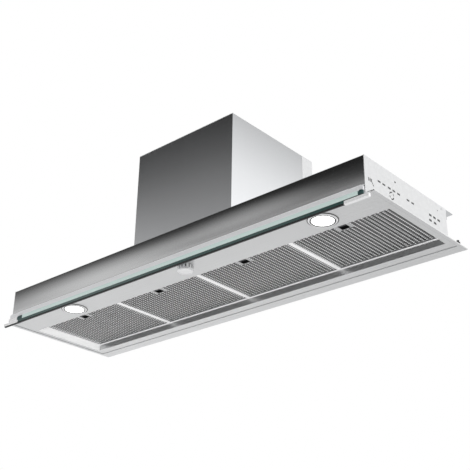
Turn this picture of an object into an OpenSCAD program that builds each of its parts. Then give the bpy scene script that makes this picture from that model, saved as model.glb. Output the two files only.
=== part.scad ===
// Built-in canopy extractor hood with a pull-out glass visor, four mesh
// grease filters and a motor tower. All sizes are in millimetres.
// X runs along the front, Y runs back towards the wall, Z runs up.
// The origin is on the seat face, the top of the rear flange strip.

/* [Body box] */
// Width of the body box
body_w = 1153; // [900:1:1400]
// Depth of the body box
body_d = 320; // [290:1:400]
// Height of the body box above the seat face
body_h = 87; // [72:1:120]
// Thickness of the steel sheet
sheet = 1.2; // [0.8:0.1:1.5]

/* [Flange] */
// How far the flange stands out beyond each side
side_overhang = 21; // [16:1:30]
// How far the flange stands out behind the body
rear_overhang = 46; // [38:1:60]
// Width of the stepped border along the two ends
end_border = 9; // [5:0.5:12]
// Width of the stepped border along the rear edge
rear_border = 30; // [15:1:34]

/* [Fascia] */
// Height of the slot between the seat face and the fascia
slot_h = 17; // [16.5:0.1:24]
// Depth of the folded lip at the bottom of the fascia
fascia_lip = 12; // [6:1:14]

/* [Filter bay] */
// Depth of the strip in front of the filters
front_strip = 89; // [86:1:100]
// Depth of the strip between the filters and the back of the body
bay_rear_gap = 10; // [5:0.5:20]
// Height of the filters' lower face above the seat face
bay_recess = 18; // [15:1:30]
// Thickness of a filter cassette
filter_t = 9.5; // [8:0.5:12]
// Width of the bar between two filters
divider_w = 11; // [8:0.5:16]
// Gap at each side of a filter
filter_gap = 0.6; // [0.4:0.1:1]
// Width of a filter's frame
filter_border = 5; // [4:0.5:8]
// Thickness of the folded mesh mat in a filter
mesh_t = 2.6; // [2:0.2:5]
// Radius of a filter's hinge pin
filter_pin_r = 2; // [1.5:0.1:2.5]
// Travel of a filter latch
latch_travel = 6; // [4:0.5:8]

/* [Visor] */
// Height of the visor's edge glass
edge_glass_h = 20; // [14:1:30]
// Thickness of the glass
glass_t = 5; // [4:0.5:5.5]
// Length of the metal cap at each end of the visor
end_cap_l = 60; // [40:1:80]
// How far the end caps reach below the seat face
visor_drop = 18; // [14:1:24]
// Depth of the sliding glass plate
visor_plate_d = 85; // [60:1:86]

/* [Lamps and control] */
// Distance of the left lamp from the middle
lamp_left_x = 367; // [300:1:420]
// Distance of the right lamp from the middle
lamp_right_x = 438; // [300:1:440]
// Distance of the lamps behind the fascia
lamp_y = 44; // [42:1:48]
// Outer radius of a lamp's ring
lamp_r = 34; // [28:0.5:34]
// Radius of the control knob
knob_r = 19; // [15:0.5:22]
// Height of the control knob
knob_h = 14; // [10:0.5:20]
// Distance of the knob behind the fascia
knob_y = 30.5; // [26:0.5:40]

/* [Motor tower] */
// Width of the tower
tower_w = 320; // [260:1:400]
// Depth of the tower
tower_d = 307; // [282:1:308]
// Height of the tower
tower_h = 258; // [235:1:400]
// Distance of the tower's middle to the right of the body's middle
tower_x = 50; // [-100:1:150]
// Distance of the tower behind the fascia
tower_y = 8; // [8:0.5:12]
// Depth of the tower's rear cover
rear_cover_d = 42; // [30:1:60]

/* [Blower] */
// Outer radius of the impeller
impeller_r = 72; // [60:1:76]
// Width of the volute
volute_w = 124; // [100:1:140]
// Number of impeller blades
blades = 36; // [16:1:48]
// Radius of the motor
motor_r = 42; // [30:1:44]
// Radius of the motor shaft
shaft_r = 4; // [3:0.5:6]

/* [Outlet] */
// Outer radius of the outlet collar
collar_r = 74.5; // [60:0.5:80]
// Height of the outlet collar
collar_h = 50; // [30:1:80]

/* [Hidden] */
$fn = 64;

// Shared clearances
run_fit = 0.05;      // radial gap of a shaft or pin in its bore
slide_gap = 0.5;     // gap round a sliding piece
seat_gap = 0.1;      // gap round a piece let into another
screw_gap = 0.3;     // radial gap round a screw

// Body box
flange_w = body_w + 2 * side_overhang;
flange_d = body_d + rear_overhang;
seat_y = -(body_d + rear_overhang / 2);
inner_w = body_w - 2 * sheet;
top_z = body_h - sheet;          // underside of the folded lips on top
top_lip = 6.5;
return_w = 14;
seat_groove = sheet / 2;         // depth the body box is let into the flange
clamp_r = 5;
clamp_x = body_w / 2 + side_overhang / 2;
clamp_y = body_d + rear_overhang / 2;

// Filter bay
bay_w = inner_w - 2 * sheet - 0.2;
bay_y0 = front_strip;
bay_y1 = body_d - bay_rear_gap;
bay_top = bay_recess + filter_t + 0.7;
pitch = bay_w / 4;
rail_w = divider_w / 2;
filter_w = pitch - divider_w - 2 * filter_gap;
filter_z0 = bay_recess + 0.25;
hinge_z = filter_z0 + filter_t / 2;
hinge_back = 4.5;                // filter edge behind its hinge pins
hinge_y = bay_y1 - 2.5 - hinge_back;
filter_y0 = bay_y0 + filter_gap;
filter_y1 = hinge_y + hinge_back;
pin_l = 4;
pocket_w = 36;
pocket_d = 47;
pocket_wall = 1.2;
tongue_w = 16;
grip_w = pocket_w - 6;
grip_d = pocket_d - 13;

// Visor
edge_y = -13;
web_t = 2.8;
web_y = edge_y + glass_t;
web_back = web_y + web_t;
web_w = inner_w - 6;
plate_z = slot_h - 1.5 - glass_t;
shelf_t = 1.4;
shelf_d = 13;
shelf_w = body_w - 73;
plate_w = shelf_w - 20;
edge_glass_w = flange_w - 11 - 2 * end_cap_l;
cap_h = 10;
slide_w = 12;
slide_h = 6;
slide_z = 3;
slide_d = front_strip - 7;
rail_wall = 2;
rail_y0 = 4;
slide_x = inner_w / 2 - 3.3 - slide_w / 2;

// Lamps and control
lamp_inner_r = lamp_r - 7;
lamp_module_r = lamp_r - 4;
module_h = plate_z - 1.5;
knob_x = tower_x - 1;
spindle_r = 3;
switch_w = 30;

// Tower and blower
tower_z0 = top_z;
lid_z = tower_z0 + tower_h - 2 * sheet;
seam_y = tower_y + tower_d - rear_cover_d;
seam_gap = 0.4;
base_lip = 12;
fan_y = tower_y + 122;
fan_z = tower_z0 + 109;
scroll_r0 = impeller_r + 8;
scroll_r1 = impeller_r + 46;
scroll_t = 2;
tongue_angle = 60;
throat_lean = 16;
inlet_r = impeller_r - 10;
blade_l = volute_w - 12;
outlet_y = fan_y + scroll_r1 - 47;
collar_t = 1.5;
collar_in = collar_r - collar_t;
flange_r = collar_r + 11.5;
collar_base_t = 2;
flap_t = 1.5;
flap_z = lid_z + sheet + 7;
knuckle_r = 3.2;
flap_pin_r = 2;
gland_x = tower_x + 230;
gland_y = 60;
gland_bore_r = 4.5;
bracket_w = 30;
bracket_d = 30;
bracket_hole_r = 3.25;

// Places a child given from the fascia's front plane into the row frame
module in_hood() translate([0, seat_y, 0]) children();

// A block between two corners
module span(lo, hi) translate(lo) cube(hi - lo);

// A child and its mirror image across the middle
module on_side(side) if (side > 0) children(); else mirror([1, 0, 0]) children();

// A cylinder along X, starting at a point
module rod_x(p, r, l) translate(p) rotate([0, 90, 0]) cylinder(r = r, h = l);

function filter_x(k) = (k - 2.5) * pitch;

// ---------- Fixed body ----------

module bottom_flange() color("gainsboro") in_hood() difference() {
    union() {
        span([-flange_w / 2, 0, -sheet], [flange_w / 2, flange_d, 0]);
        difference() {
            span([-flange_w / 2, 0, -2 * sheet], [flange_w / 2, flange_d, -sheet / 2]);
            span([end_border - flange_w / 2, -1, -3 * sheet],
                 [flange_w / 2 - end_border, flange_d - rear_border, 0]);
        }
    }
    span([-bay_w / 2, bay_y0, -3 * sheet], [bay_w / 2, bay_y1, 1]);
    for (x = [-lamp_left_x, lamp_right_x])
        translate([x, lamp_y, -2 * sheet]) cylinder(r = lamp_module_r + 0.5, h = 3 * sheet);
    translate([knob_x, knob_y, -2 * sheet]) cylinder(r = spindle_r + 1, h = 3 * sheet);
    for (side = [-1, 1]) {
        span([side * slide_x - 6, 18, -2 * sheet], [side * slide_x + 6, 20, 1]);
        on_side(side) span([inner_w / 2 - seat_gap, -1, -seat_groove],
                           [body_w / 2 + seat_gap, body_d + seat_gap, 1]);
        translate([side * clamp_x, clamp_y, -seat_groove]) cylinder(r = clamp_r + seat_gap, h = sheet);
    }
    span([-body_w / 2, body_d - sheet - seat_gap, -seat_groove], [body_w / 2, body_d + seat_gap, 1]);
}

// Four strips round the bay; the end strips carry the rails of the outer filters
module filter_bay_frame() color("silver") in_hood() difference() {
    span([-bay_w / 2 - sheet, bay_y0 - sheet, 0],
         [bay_w / 2 + sheet, bay_y1 + sheet, bay_top + sheet]);
    span([-bay_w / 2, bay_y0, -1], [bay_w / 2, bay_y1, bay_recess]);
    span([rail_w - bay_w / 2, bay_y0, 0], [bay_w / 2 - rail_w, bay_y1, bay_top + 2 * sheet]);
    for (y = [bay_y0, bay_y1 - seat_gap])
        span([-bay_w, y, -1], [bay_w, y + seat_gap, bay_top + 2 * sheet]);
    for (side = [-1, 1]) on_side(side)
        rod_x([bay_w / 2 - rail_w - 1, hinge_y, hinge_z], filter_pin_r + run_fit, rail_w + 0.5);
    for (k = [1:4]) span([filter_x(k) - 13, bay_y0 - 2 * sheet, hinge_z - 3],
                         [filter_x(k) + 13, bay_y0 + 1, hinge_z + 3]);
}

module filter_dividers() color("gainsboro") in_hood() for (k = [1:3]) difference() {
    span([(k - 2) * pitch - rail_w, bay_y0, bay_recess], [(k - 2) * pitch + rail_w, bay_y1, bay_top]);
    rod_x([(k - 2) * pitch - divider_w, hinge_y, hinge_z], filter_pin_r + run_fit, 2 * divider_w);
}

module fascia_panel() color("silver") in_hood() {
    span([-inner_w / 2, 0, slot_h], [inner_w / 2, sheet, body_h]);
    span([-inner_w / 2, 0, slot_h], [inner_w / 2, fascia_lip, slot_h + sheet]);
    span([-inner_w / 2, 0, top_z], [inner_w / 2, top_lip + sheet, body_h]);
}

// A slot through the side panel, drawn in the panel's own plane
module panel_slot(y, z, l = 9, h = 3) translate([y, z]) square([l, h], center = true);

module side_cutouts() {
    for (y = [52, 69, 89, 106, 124, 160, 178]) panel_slot(y, 45.5);
    for (y = [71, 54, 36]) panel_slot(body_d - y, 45);
    for (y = [72, 53]) panel_slot(body_d - y, 32);
    for (y = [14, 19, 24]) panel_slot(y, 36, 2, 7);
    for (p = [[27, 31], [30, 27]]) panel_slot(p[0], p[1], 2.5, 4);
    translate([113, body_h - 17.5]) circle(r = 2.5);
    for (p = [[36.5, 17.5], [21, 7.5]]) translate([body_d - p[0], body_h - p[1]]) circle(r = 1.6);
    translate([97, 31]) difference() {
        circle(r = 9);
        circle(r = 6.5);
        square([20, 3], center = true);
        rotate(60) square([20, 3], center = true);
    }
}

module side_panel(side) in_hood() on_side(side) difference() {
    union() {
        span([inner_w / 2, 0, -seat_groove], [body_w / 2, body_d, body_h]);
        span([inner_w / 2 - return_w, sheet, slot_h + sheet], [inner_w / 2, 2 * sheet, top_z]);
        span([inner_w / 2 - return_w, body_d - sheet, -seat_groove], [inner_w / 2, body_d, top_z]);
        span([inner_w / 2 - return_w, top_lip + 2 * sheet, top_z], [inner_w / 2, body_d, body_h]);
    }
    translate([body_w / 2 - 2 * sheet, 0, 0])
        rotate([90, 0, 90]) linear_extrude(3 * sheet) side_cutouts();
    translate([slide_x, body_d, body_h - 18]) rotate([90, 0, 0])
        cylinder(r = 2 + screw_gap, h = 3 * sheet, center = true);
}

module left_side_panel() color("whitesmoke") side_panel(-1);
module right_side_panel() color("whitesmoke") side_panel(1);

module rear_panel() color("silver") in_hood() difference() {
    span([-inner_w / 2, body_d - 2 * sheet, 0], [inner_w / 2, body_d - sheet, top_z - sheet]);
    for (side = [-1, 1]) translate([side * slide_x, body_d, body_h - 18]) rotate([90, 0, 0])
        cylinder(r = 2 + screw_gap, h = 8 * sheet, center = true);
}

module top_panel() color("silver") in_hood() difference() {
    span([-inner_w / 2, 2 * sheet, top_z - sheet], [inner_w / 2, body_d - sheet, top_z]);
    span([tower_x - tower_w / 2 + base_lip, tower_y + base_lip, top_z - 2 * sheet],
         [tower_x + tower_w / 2 - base_lip, tower_y + tower_d - base_lip, body_h]);
    translate([gland_x, gland_y, top_z - 2 * sheet]) cylinder(r = 10.2, h = 4 * sheet);
}

module guide_rail(side) in_hood() on_side(side) difference() {
    span([slide_x - slide_w / 2 - slide_gap - rail_wall, rail_y0, 0],
         [slide_x + slide_w / 2 + slide_gap + rail_wall, front_strip - 3, slide_z + slide_h + 3]);
    span([slide_x - slide_w / 2 - slide_gap, rail_y0 - 1, slide_z - slide_gap],
         [slide_x + slide_w / 2 + slide_gap, front_strip - 5, slide_z + slide_h + slide_gap]);
}

module left_guide_rail() color("dimgray") guide_rail(-1);
module right_guide_rail() color("dimgray") guide_rail(1);

// ---------- Pull-out visor ----------

module visor_glass() color("lightcyan") in_hood()
    span([-plate_w / 2, web_back, plate_z], [plate_w / 2, web_back + visor_plate_d, plate_z + glass_t]);

module visor_profile() color("lightgray") in_hood() {
    span([-web_w / 2, web_y, cap_h - visor_drop], [web_w / 2, web_back, plate_z + glass_t]);
    span([-shelf_w / 2, web_back, plate_z - shelf_t], [shelf_w / 2, web_back + shelf_d, plate_z]);
    span([-shelf_w / 2, web_y, plate_z + glass_t],
         [shelf_w / 2, web_back + 4, plate_z + glass_t + 0.8]);
}

module visor_edge_glass() color("paleturquoise") in_hood() {
    span([-edge_glass_w / 2, edge_y, -visor_drop],
         [edge_glass_w / 2, edge_y + glass_t, edge_glass_h - visor_drop]);
    span([-web_w / 2, edge_y, cap_h - visor_drop],
         [web_w / 2, edge_y + glass_t, edge_glass_h - visor_drop]);
}

module end_cap(side) in_hood() on_side(side)
    span([edge_glass_w / 2, edge_y, -visor_drop],
         [edge_glass_w / 2 + end_cap_l, web_back, cap_h - visor_drop]);

module left_end_cap() color("white") end_cap(-1);
module right_end_cap() color("white") end_cap(1);

module slide_bar(side) in_hood() on_side(side)
    span([slide_x - slide_w / 2, web_back, slide_z],
         [slide_x + slide_w / 2, web_back + slide_d, slide_z + slide_h]);

module left_slide() color("darkgray") slide_bar(-1);
module right_slide() color("darkgray") slide_bar(1);

// ---------- Tower ----------

module tower_front_cover() color("gray") in_hood() difference() {
    span([tower_x - tower_w / 2, tower_y, tower_z0], [tower_x + tower_w / 2, seam_y, lid_z]);
    span([tower_x - tower_w / 2 + sheet, tower_y + sheet, tower_z0 + sheet],
         [tower_x + tower_w / 2 - sheet, seam_y + 1, lid_z + 1]);
    span([tower_x - tower_w / 2 + base_lip, tower_y + base_lip, tower_z0 - 1],
         [tower_x + tower_w / 2 - base_lip, seam_y + 1, lid_z]);
}

module tower_rear_cover() color("lightgray") in_hood() difference() {
    span([tower_x - tower_w / 2, seam_y + seam_gap, tower_z0],
         [tower_x + tower_w / 2, tower_y + tower_d, lid_z]);
    span([tower_x - tower_w / 2 + sheet, seam_y - 1, tower_z0 + sheet],
         [tower_x + tower_w / 2 - sheet, tower_y + tower_d - sheet, lid_z + 1]);
    span([tower_x - tower_w / 2 + base_lip, seam_y - 1, tower_z0 - 1],
         [tower_x + tower_w / 2 - base_lip, tower_y + tower_d - base_lip, lid_z]);
}

// Four screws round the outlet
module at_collar_screws() for (a = [45:90:315])
    translate([tower_x, outlet_y, 0]) rotate(a) translate([collar_r + 6, 0, 0]) children();

module tower_lid() color("silver") in_hood() difference() {
    span([tower_x - tower_w / 2, tower_y, lid_z], [tower_x + tower_w / 2, tower_y + tower_d, lid_z + sheet]);
    translate([tower_x, outlet_y, lid_z - 1]) cylinder(r = collar_in, h = 4);
    at_collar_screws() translate([0, 0, lid_z - 1]) cylinder(r = 2 + screw_gap, h = 4);
}

module outlet_collar() color("dimgray") in_hood() difference() {
    translate([tower_x, outlet_y, lid_z + sheet]) rotate_extrude($fn = 96) polygon([
        [collar_in, 0], [flange_r, 0], [flange_r, collar_base_t], [collar_r, collar_base_t],
        [collar_r, collar_h], [collar_in, collar_h], [collar_in, 5.8],
        [collar_in - 4, 5.8], [collar_in - 4, 2.8], [collar_in, 2.8]]);
    rod_x([tower_x - collar_r - 1, outlet_y, flap_z], flap_pin_r + run_fit, 2 * collar_r + 2);
    at_collar_screws() translate([0, 0, lid_z]) cylinder(r = 2 + screw_gap, h = 5);
}

module damper_pin() color("silver") in_hood()
    rod_x([tower_x - collar_r + 0.2, outlet_y, flap_z], flap_pin_r, 2 * collar_r - 0.4);

// Half disc with two knuckles round the pin; first is where its knuckles start
module damper_flap(side, first) {
    knuckle = collar_in / 2 - 3.1;
    starts = [first, first + 2 * (knuckle + 0.8)];
    in_hood() translate([tower_x, outlet_y, flap_z]) difference() {
        union() {
            linear_extrude(flap_t, center = true) intersection() {
                circle(r = collar_in - 1.5, $fn = 96);
                union() {
                    translate([-collar_in, side > 0 ? knuckle_r + 0.8 : -collar_in - knuckle_r - 0.8])
                        square([2 * collar_in, collar_in]);
                    for (x = starts) translate([x, side > 0 ? 0 : -knuckle_r - 1.5])
                        square([knuckle, knuckle_r + 1.5]);
                }
            }
            for (x = starts) rod_x([x, 0, 0], knuckle_r, knuckle);
        }
        rod_x([-collar_in, 0, 0], flap_pin_r + run_fit, 2 * collar_in);
    }
}

flap_reach = 2 * (collar_in / 2 - 3.1) + 1.2;
module front_damper_flap() color("slategray") damper_flap(-1, -flap_reach);
module rear_damper_flap() color("slategray")
    damper_flap(1, -flap_reach + collar_in / 2 - 3.1 + 0.8);

// ---------- Blower ----------

function scroll_r(a) = scroll_r0 + (scroll_r1 - scroll_r0) * (a - tongue_angle) / (360 - tongue_angle);
function scroll_point(a, grow) =
    [fan_y + (scroll_r(a) + grow) * cos(a), fan_z + (scroll_r(a) + grow) * sin(a)];
function scroll_path(grow) = [for (a = [tongue_angle:12:360]) scroll_point(a, grow)];
throat_y = scroll_point(tongue_angle, 0)[0] - throat_lean;

// Turns a drawing of the YZ plane into a solid that starts at x
module along_x(x, l) translate([x, 0, 0]) rotate([90, 0, 90]) linear_extrude(l) children();

module volute_band() color("lightslategray") in_hood() along_x(tower_x - volute_w / 2, volute_w)
    polygon(concat([[throat_y, lid_z]], scroll_path(0),
        [[fan_y + scroll_r1, lid_z], [fan_y + scroll_r1 + scroll_t, lid_z]],
        [for (i = [len(scroll_path(0)) - 1:-1:1]) scroll_path(scroll_t)[i]],
        [scroll_point(tongue_angle + 2, scroll_t), [throat_y - scroll_t, lid_z]]));

module volute_outline() polygon(concat(scroll_path(scroll_t),
    [[fan_y + scroll_r1 + scroll_t, lid_z], [throat_y - scroll_t, lid_z]]));

module left_volute_side() color("lightslategray") in_hood()
    along_x(tower_x - volute_w / 2 - scroll_t, scroll_t) difference() {
        volute_outline();
        translate([fan_y, fan_z]) circle(r = inlet_r);
        for (a = [30, 150, 270]) translate([fan_y, fan_z]) rotate(a)
            translate([inlet_r + 7, 0]) circle(r = 2 + screw_gap);
    }

module right_volute_side() color("lightslategray") in_hood()
    along_x(tower_x + volute_w / 2, scroll_t) difference() {
        volute_outline();
        translate([fan_y, fan_z]) circle(r = inlet_r);
    }

module impeller() color("gray") in_hood() translate([tower_x, fan_y, fan_z]) difference() {
    union() {
        along_x(-1.5, 3) circle(r = impeller_r);
        along_x(-1.5, 14) circle(r = 10);
        for (x = [-blade_l / 2, blade_l / 2 - 3]) along_x(x, 3) difference() {
            circle(r = impeller_r);
            circle(r = impeller_r - 13);
        }
        along_x(-blade_l / 2 + 1, blade_l - 2) for (i = [0:blades - 1])
            rotate(i * 360 / blades) translate([impeller_r - 6.5, 0]) rotate(35)
                square([11, 1.2], center = true);
    }
    along_x(-blade_l, 2 * blade_l) circle(r = shaft_r);
}

module motor() color("dimgray") in_hood() translate([tower_x, fan_y, fan_z]) difference() {
    union() {
        along_x(-48, 40) circle(r = motor_r);
        along_x(-54, 6) circle(r = motor_r - 8);
        along_x(-8, 4) circle(r = 12);
    }
    along_x(-60, 70) circle(r = shaft_r + run_fit);
}

module motor_shaft() color("silver") in_hood() translate([tower_x, fan_y, fan_z])
    along_x(-58, 76) circle(r = shaft_r);

module motor_bracket() color("silver") in_hood() translate([tower_x, fan_y, fan_z])
    along_x(-volute_w / 2 - scroll_t - 3, 3) difference() {
        union() {
            circle(r = motor_r - 10);
            for (a = [30, 150, 270]) rotate(a) translate([0, -7]) square([inlet_r + 14, 14]);
        }
        circle(r = 14);
        for (a = [30, 150, 270]) rotate(a) translate([inlet_r + 7, 0]) circle(r = 2 + screw_gap);
    }

module capacitor() color("white") in_hood()
    translate([tower_x + tower_w / 2 - sheet - 16, tower_y + 50, tower_z0 + 30]) {
        cylinder(r = 16, h = 60);
        translate([0, 0, 60]) cylinder(r = 5, h = 6);
    }

module control_box() color("black") in_hood()
    span([tower_x + 260, 150, top_z - sheet - 34], [tower_x + 400, 240, top_z - sheet]);

module led_driver() color("ivory") in_hood()
    span([tower_x - 470, 150, top_z - sheet - 22], [tower_x - 350, 200, top_z - sheet]);

module cable_gland() color("black") in_hood() translate([gland_x, gland_y, top_z]) difference() {
    union() {
        translate([0, 0, -12]) cylinder(r = 10, h = 25);
        cylinder(r = 14, h = 5, $fn = 6);
        translate([0, 0, -sheet - 6]) cylinder(r = 14, h = 6, $fn = 6);
        translate([0, 0, 13]) cylinder(r1 = 10, r2 = 7, h = 6);
    }
    translate([0, 0, -20]) cylinder(r = gland_bore_r, h = 60);
}

// ---------- Control and lamps ----------

module control_knob() color("silver") in_hood() translate([knob_x, knob_y, -sheet - 0.6]) difference() {
    translate([0, 0, -knob_h]) rotate_extrude($fn = 96) polygon([
        [0, 0], [knob_r - 1.5, 0], [knob_r, 1.5], [knob_r, knob_h], [0, knob_h]]);
    translate([0, 0, -8]) cylinder(r = spindle_r, h = 9);
}

module knob_spindle() color("silver") in_hood()
    translate([knob_x, knob_y, -sheet - 8.6]) cylinder(r = spindle_r, h = module_h + sheet + 7);

module selector_switch() color("black") in_hood() difference() {
    translate([knob_x, knob_y, 0]) linear_extrude(module_h) square(switch_w, center = true);
    translate([knob_x, knob_y, -1]) cylinder(r = spindle_r + run_fit, h = module_h + 2);
}

module lamp_ring(x) in_hood() translate([x, lamp_y, -sheet]) rotate_extrude($fn = 96) polygon([
    [lamp_inner_r, -2.4], [lamp_inner_r + 1, -3], [lamp_r - 2, -3], [lamp_r, -1], [lamp_r, 0],
    [lamp_inner_r, 0]]);

module lamp_lens(x) in_hood() translate([x, lamp_y, -sheet - 2]) cylinder(r = lamp_inner_r - seat_gap, h = 2);

module lamp_module(x) in_hood() translate([x, lamp_y, -sheet]) cylinder(r = lamp_module_r, h = module_h + sheet);

module left_lamp_ring() color("silver") lamp_ring(-lamp_left_x);
module left_lamp_lens() color("white") lamp_lens(-lamp_left_x);
module left_lamp_module() color("dimgray") lamp_module(-lamp_left_x);
module right_lamp_ring() color("silver") lamp_ring(lamp_right_x);
module right_lamp_lens() color("white") lamp_lens(lamp_right_x);
module right_lamp_module() color("dimgray") lamp_module(lamp_right_x);

// ---------- Filters ----------

module filter_pocket(x, grow) span(
    [x - pocket_w / 2 - grow, filter_y0 + filter_border - 0.01, filter_z0 - 1],
    [x + pocket_w / 2 + grow, filter_y0 + filter_border + pocket_d + grow, filter_z0 + filter_t - 1.5 + grow]);

module filter_frame(k) {
    x = filter_x(k);
    in_hood() difference() {
        union() {
            difference() {
                span([x - filter_w / 2, filter_y0, filter_z0],
                     [x + filter_w / 2, filter_y1, filter_z0 + filter_t]);
                span([x - filter_w / 2 + filter_border, filter_y0 + filter_border, filter_z0 - 1],
                     [x + filter_w / 2 - filter_border, filter_y1 - filter_border, filter_z0 + filter_t + 1]);
            }
            intersection() {
                filter_pocket(x, pocket_wall);
                span([x - filter_w, 0, filter_z0], [x + filter_w, body_d, filter_z0 + filter_t]);
            }
            rod_x([x - filter_w / 2 - filter_gap - pin_l, hinge_y, hinge_z],
                  filter_pin_r, filter_gap + pin_l + 1);
            rod_x([x + filter_w / 2 - 1, hinge_y, hinge_z], filter_pin_r, filter_gap + pin_l + 1);
        }
        filter_pocket(x, 0);
        span([x - tongue_w / 2 - slide_gap, filter_y0 - 1, hinge_z - 2],
             [x + tongue_w / 2 + slide_gap, filter_y0 + filter_border + 1, hinge_z + 2]);
    }
}

module filter_mesh(k) {
    x = filter_x(k);
    in_hood() difference() {
        span([x - filter_w / 2 + filter_border, filter_y0 + filter_border, filter_z0 + 0.8],
             [x + filter_w / 2 - filter_border, filter_y1 - filter_border, filter_z0 + 0.8 + mesh_t]);
        span([x - pocket_w / 2 - pocket_wall, filter_y0, filter_z0 - 1],
             [x + pocket_w / 2 + pocket_wall, filter_y0 + filter_border + pocket_d + pocket_wall,
              filter_z0 + filter_t + 1]);
    }
}

module filter_latch(k) {
    x = filter_x(k);
    in_hood() {
        span([x - tongue_w / 2, filter_y0 + 0.5, hinge_z - 1.5],
             [x + tongue_w / 2, filter_y0 + filter_border + 4, hinge_z + 1.5]);
        span([x - grip_w / 2, filter_y0 + filter_border + 1.5, hinge_z - 2],
             [x + grip_w / 2, filter_y0 + filter_border + grip_d, hinge_z + 2]);
        span([x - grip_w / 2, filter_y0 + filter_border + grip_d - 4, filter_z0 + 0.4],
             [x + grip_w / 2, filter_y0 + filter_border + grip_d, hinge_z]);
    }
}

module filter_1_frame() color("silver") filter_frame(1);
module filter_1_mesh() color("darkgray") filter_mesh(1);
module filter_1_latch() color("dimgray") filter_latch(1);
module filter_2_frame() color("silver") filter_frame(2);
module filter_2_mesh() color("darkgray") filter_mesh(2);
module filter_2_latch() color("dimgray") filter_latch(2);
module filter_3_frame() color("silver") filter_frame(3);
module filter_3_mesh() color("darkgray") filter_mesh(3);
module filter_3_latch() color("dimgray") filter_latch(3);
module filter_4_frame() color("silver") filter_frame(4);
module filter_4_mesh() color("darkgray") filter_mesh(4);
module filter_4_latch() color("dimgray") filter_latch(4);

// ---------- Fixings ----------

module wall_bracket(side) in_hood() on_side(side) difference() {
    union() {
        span([body_w / 2 - bracket_w, body_d, body_h - 3], [body_w / 2, body_d + bracket_d, body_h - 1]);
        span([body_w / 2 - bracket_w, body_d, body_h - 26], [body_w / 2, body_d + 2, body_h - 2]);
        translate([body_w / 2 - 2, 0, 0]) rotate([90, 0, 90]) linear_extrude(2) polygon([
            [body_d, body_h - 20], [body_d, body_h - 2], [body_d + bracket_d, body_h - 2]]);
    }
    translate([slide_x, body_d + 17, body_h - 5]) cylinder(r = bracket_hole_r, h = 6);
    translate([slide_x, body_d, body_h - 18]) rotate([90, 0, 0])
        cylinder(r = 2 + screw_gap, h = 12, center = true);
}

module left_wall_bracket() color("silver") wall_bracket(-1);
module right_wall_bracket() color("silver") wall_bracket(1);

module seat_clamps() color("black") in_hood() for (side = [-1, 1])
    translate([side * clamp_x, clamp_y, -seat_groove]) {
        cylinder(r = clamp_r, h = 10);
        translate([0, 0, 10]) cylinder(r = 3, h = 5);
    }

// Pan-head screw standing on z = 0 with its shank pointing down
module screw(l) {
    cylinder(r = 4, h = 2.2);
    translate([0, 0, -l]) cylinder(r = 2, h = l + 0.1);
}

module fixing_screws() color("silver") in_hood() {
    at_collar_screws() translate([0, 0, lid_z + sheet + collar_base_t]) screw(6);
    for (side = [-1, 1]) translate([side * slide_x, body_d + 2, body_h - 18])
        rotate([-90, 0, 0]) screw(7);
}

bottom_flange();
filter_bay_frame();
filter_dividers();
fascia_panel();
left_side_panel();
right_side_panel();
rear_panel();
top_panel();
left_guide_rail();
right_guide_rail();
visor_glass();
visor_profile();
visor_edge_glass();
left_end_cap();
right_end_cap();
left_slide();
right_slide();
tower_front_cover();
tower_rear_cover();
tower_lid();
outlet_collar();
front_damper_flap();
rear_damper_flap();
damper_pin();
volute_band();
left_volute_side();
right_volute_side();
impeller();
motor();
motor_shaft();
motor_bracket();
capacitor();
control_box();
led_driver();
cable_gland();
control_knob();
knob_spindle();
selector_switch();
left_lamp_ring();
left_lamp_lens();
left_lamp_module();
right_lamp_ring();
right_lamp_lens();
right_lamp_module();
filter_1_frame();
filter_1_mesh();
filter_1_latch();
filter_2_frame();
filter_2_mesh();
filter_2_latch();
filter_3_frame();
filter_3_mesh();
filter_3_latch();
filter_4_frame();
filter_4_mesh();
filter_4_latch();
left_wall_bracket();
right_wall_bracket();
seat_clamps();
fixing_screws();
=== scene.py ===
import math

import bmesh
import bpy
from mathutils import Matrix, Vector


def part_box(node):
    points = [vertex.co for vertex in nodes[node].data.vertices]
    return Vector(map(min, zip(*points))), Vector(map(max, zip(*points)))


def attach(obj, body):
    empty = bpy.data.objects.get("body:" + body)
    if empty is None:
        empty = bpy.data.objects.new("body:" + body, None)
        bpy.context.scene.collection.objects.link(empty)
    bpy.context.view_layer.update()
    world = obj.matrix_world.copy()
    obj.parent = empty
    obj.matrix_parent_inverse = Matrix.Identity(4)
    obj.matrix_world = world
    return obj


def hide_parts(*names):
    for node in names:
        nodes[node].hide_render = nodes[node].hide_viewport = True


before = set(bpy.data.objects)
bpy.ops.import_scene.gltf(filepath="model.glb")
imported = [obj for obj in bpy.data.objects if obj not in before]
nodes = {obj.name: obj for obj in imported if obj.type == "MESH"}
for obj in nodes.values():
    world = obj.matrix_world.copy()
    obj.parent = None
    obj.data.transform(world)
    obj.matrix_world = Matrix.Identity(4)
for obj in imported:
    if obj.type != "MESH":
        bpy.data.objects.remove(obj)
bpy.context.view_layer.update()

MM = 0.001
SHEET = 1.2 * MM  # thickness of the sheet steel
FILTERS = (1, 2, 3, 4)
SIDES = (("left", -1), ("right", 1))
scene = bpy.context.scene


# ---------- Camera, studio and floor ----------

# Where the camera stands in metres, which way it looks and its roll in degrees, and its lens in mm
CAMERA_PLACE = (1.5119, -1.7657, -0.9024)
CAMERA_AZIMUTH, CAMERA_ELEVATION, CAMERA_ROLL = 42.01, 25.53, -0.878
CAMERA_LENS, CAMERA_SENSOR = 73.79, 36.0
CAMERA_CLIP = 0.05

# Soft patches of light in the studio: direction, cosine of the half angle, strength
SOFT_BOXES = [
    ((-0.712, -0.585, 0.388), 0.9945, 0.60),
    ((-0.590, -0.668, 0.450), 0.9965, 0.46),
    ((0.604, 0.670, 0.300), 0.80, 0.20),
]
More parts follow.
